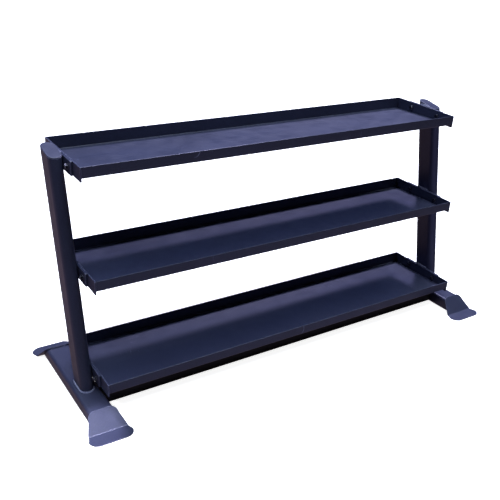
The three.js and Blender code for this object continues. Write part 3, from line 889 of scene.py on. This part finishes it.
def softbox(name, target, direction, distance, size, radiance, colour):
    """A square soft light of a given radiance, out in a direction from what it lights."""
    place = target + Vector(direction).normalized() * distance
    light = lamp(name, "AREA", radiance * size * size * math.pi, colour, place, target)
    light.data.size = size
    light.visible_camera = False
    return light


KEY_COLOUR = (0.72, 0.66, 1.0)
KEY_DIRECTION = direction_to(38, 58)
KEY_WIDTH = math.radians(5)
FAR_KEY_STRENGTH = 0.95
NEAR_KEY_DISTANCE, NEAR_KEY_SIZE, NEAR_KEY_RADIANCE = 6.0, 0.52, 215


def key_light():
    """A key from the back right: a far part, and a nearer one that fades toward the left."""
    place = KEY_DIRECTION * NEAR_KEY_DISTANCE
    far = lamp("far_key", "SUN", FAR_KEY_STRENGTH, KEY_COLOUR, place, Vector())
    far.data.angle = KEY_WIDTH
    right_end = Vector((0.9, 0, 0.6))
    softbox("near_key", right_end, KEY_DIRECTION, NEAR_KEY_DISTANCE, NEAR_KEY_SIZE,
            NEAR_KEY_RADIANCE, KEY_COLOUR)


def left_floor_bounce():
    """What a floor out at the back left throws back at the rack's ends."""
    softbox("left_floor_bounce", Vector((0, 0, 0.45)),
            direction=(-0.83, 0.53, -0.15), distance=2.8,
            size=2.0, radiance=0.12, colour=(0.6, 0.46, 1.0))


def right_upright_panel():
    """A dim bluish panel close to the front of the right upright, which lights nothing else."""
    panel = softbox("right_upright_panel", Vector((FRAME_X, -0.1, 0.4)),
                    direction=(-0.3, -0.95, -0.1), distance=1.1,
                    size=1.7, radiance=0.34, colour=(0.58, 0.53, 1.0))
    lit = bpy.data.collections.new("lit_by_right_upright_panel")
    lit.objects.link(bpy.data.objects["right_upright_tube"])
    panel.light_linking.receiver_collection = lit


LEFT_FOOT = Vector((-FRAME_X - 0.038, -0.322, 0.02))
SPOT_DISTANCE = 2.5
SPOT_CONE, SPOT_BLEND, SPOT_RADIUS = math.radians(4.6), 0.25, 0.03
# Each spot's direction from the foot, its power in watts and its colour.
FOOT_SPOTS = {
    "foot_spot": ((-0.32, -0.73, 0.60), 560, (1.0, 0.96, 1.0)),
    "foot_glint": ((0.27, -0.10, 0.96), 290, (0.78, 0.73, 1.0)),
}


def foot_spot(name, direction, energy, colour):
    """A narrow spot on the left foot plate, which stops short of the beam."""
    place = LEFT_FOOT + Vector(direction) * SPOT_DISTANCE
    light = lamp(name, "SPOT", energy, colour, place, LEFT_FOOT)
    light.data.spot_size = SPOT_CONE
    light.data.spot_blend = SPOT_BLEND
    light.data.shadow_soft_size = SPOT_RADIUS


# What the rack reflects, as radiances.
CEILING = (4.1, 4.5, 4.9)
BACK_WALL = (0.02, 0.05, 0.22)
BACK_FLOOR = (0.24, 0.17, 0.19)
FRONT_FLOOR = (0.33, 0.29, 0.41)
FAR_FRONT_FLOOR = (0.17, 0.14, 0.17)
DARK = (0.0, 0.0, 0.0)
BRIGHTEST = 5.0
# The room by height, as (z of the direction, tone toward the front, tone toward the back).
ROOM = (
    (-1.00, FRONT_FLOOR, BACK_FLOOR),
    (-0.50, FRONT_FLOOR, BACK_FLOOR),
    (-0.30, FAR_FRONT_FLOOR, BACK_FLOOR),
    (-0.06, DARK, BACK_FLOOR),
    (0.06, DARK, DARK),
    (0.22, DARK, DARK),
    (0.45, DARK, BACK_WALL),
    (0.72, DARK, BACK_WALL),
    (0.92, CEILING, CEILING),
    (1.00, CEILING, CEILING),
)
FRONT_TO_BACK = 0.3                                # y of the direction where the mix is complete


def tone_ramp(tree, height, half):
    """The room's tones by height, for its front half (0) or its back half (1)."""
    ramp = tree.nodes.new("ShaderNodeValToRGB")
    tree.links.new(height, ramp.inputs["Fac"])
    stops = ramp.color_ramp.elements
    while len(stops) < len(ROOM):
        stops.new(0.5)
    for stop, (z, *tones) in zip(stops, ROOM):
        stop.position = (z + 1) / 2
        stop.color = (*[c / BRIGHTEST for c in tones[half]], 1)
    return ramp.outputs["Color"]


def room():
    """Soft studio light: a bright ceiling, dark walls and a dim floor."""
    world = bpy.data.worlds.new("room")
    bpy.context.scene.world = world
    world.use_nodes = True
    tree = world.node_tree
    background = tree.nodes["Background"]
    background.inputs["Strength"].default_value = BRIGHTEST
    split = tree.nodes.new("ShaderNodeSeparateXYZ")
    direction = tree.nodes.new("ShaderNodeTexCoord").outputs["Generated"]
    tree.links.new(direction, split.inputs["Vector"])
    height = tree.nodes.new("ShaderNodeMapRange")
    height.inputs["From Min"].default_value = -1.0
    tree.links.new(split.outputs["Z"], height.inputs["Value"])
    depth = tree.nodes.new("ShaderNodeMapRange")
    depth.interpolation_type = "SMOOTHSTEP"
    depth.inputs["From Min"].default_value = -FRONT_TO_BACK
    depth.inputs["From Max"].default_value = FRONT_TO_BACK
    tree.links.new(split.outputs["Y"], depth.inputs["Value"])
    mix = tree.nodes.new("ShaderNodeMix")
    mix.data_type = "RGBA"
    tree.links.new(depth.outputs["Result"], mix.inputs["Factor"])
    for half in (0, 1):
        tree.links.new(tone_ramp(tree, height.outputs["Result"], half), mix.inputs[6 + half])
    tree.links.new(mix.outputs[2], background.inputs["Color"])


def studio_object(name, bm, material):
    """An object that isn't part of the rack."""
    mesh = bpy.data.meshes.new(name)
    bm.to_mesh(mesh)
    bm.free()
    mesh.materials.append(material)
    made = bpy.data.objects.new(name, mesh)
    bpy.context.scene.collection.objects.link(made)
    return made


FLOOR_HALF = 40.0
FLOOR_GLOW = 0.92
DOME_RADIUS = 38.0
WHITE = (1.0, 1.0, 1.0, 1.0)


def studio_floor():
    """A plain white floor. It is lit and shadowed, and doesn't tint the rack from below."""
    shader = Shader("white_floor")
    dust = shader.remap(shader.noise(0.6, detail=3.0), *NOISE_SPAN)
    white = shader.blend(dust, (0.86, 0.86, 0.87), (0.88, 0.88, 0.88))
    shader.feed(shader.surface.inputs["Base Color"], white)
    shader.surface.inputs["Roughness"].default_value = 0.9
    shader.surface.inputs["Emission Color"].default_value = WHITE
    shader.surface.inputs["Emission Strength"].default_value = FLOOR_GLOW
    bm = bmesh.new()
    bmesh.ops.create_grid(bm, x_segments=2, y_segments=2, size=FLOOR_HALF)
    floor = studio_object("studio_floor", bm, shader.material)
    floor.visible_diffuse = False
    floor.visible_glossy = False


def backdrop():
    """A plain white dome that only the camera sees, so that every view has the same background."""
    shader = Shader("white_backdrop")
    shader.surface.inputs["Base Color"].default_value = (0.9, 0.9, 0.9, 1.0)
    shader.surface.inputs["Emission Color"].default_value = WHITE
    shader.surface.inputs["Emission Strength"].default_value = 1.0
    bm = bmesh.new()
    bmesh.ops.create_uvsphere(bm, u_segments=48, v_segments=24, radius=DOME_RADIUS)
    dome = studio_object("white_backdrop", bm, shader.material)
    dome.visible_diffuse = False
    dome.visible_glossy = False
    dome.visible_shadow = False


def shade_under_rack():
    """A black card on the floor that only reflections see: painted shade for the shaded floor under
    the trays.
    """
    shader = Shader("painted_floor_shade")
    shader.surface.inputs["Base Color"].default_value = (0.003, 0.003, 0.004, 1.0)
    shader.surface.inputs["Specular IOR Level"].default_value = 0.0
    middle_y, height = 0.12, 0.001
    half_length, half_width = FRAME_X - 0.06, 0.30
    bm = bmesh.new()
    bmesh.ops.create_grid(bm, x_segments=1, y_segments=1, size=1.0)
    spread = Matrix.Diagonal((half_length, half_width, 1, 1))
    bm.transform(Matrix.Translation((0, middle_y, height)) @ spread)
    card = studio_object("painted_floor_shade", bm, shader.material)
    card.visible_camera = False
    card.visible_shadow = False


def studio():
    """The floor, the lights and what the rack reflects."""
    studio_floor()
    room()
    key_light()
    for name, (direction, energy, colour) in FOOT_SPOTS.items():
        foot_spot(name, direction, energy, colour)
    backdrop()
    shade_under_rack()
    right_upright_panel()
    left_floor_bounce()
    bpy.context.scene.view_settings.view_transform = "Standard"


# ---- Assembly ----
def build_rack():
    """All the pieces, tray by tray and then side by side."""
    for tier in TIERS:
        tray_pan(tier)
        for side in SIDES:
            tray_end(tier, side)
            bracket(tier, side)
            bracket_weld(tier, side)
            for end in ENDS:
                bolt_and_nut(tier, side, end)
    for side in SIDES:
        upright(side)
        upright_cap(side)
        upright_foot_weld(side)
        base_beam(side)
        for end in ENDS:
            foot_plate(side, end)
            foot_weld(side, end)
    low_crossmember()


camera()
build_rack()
studio()
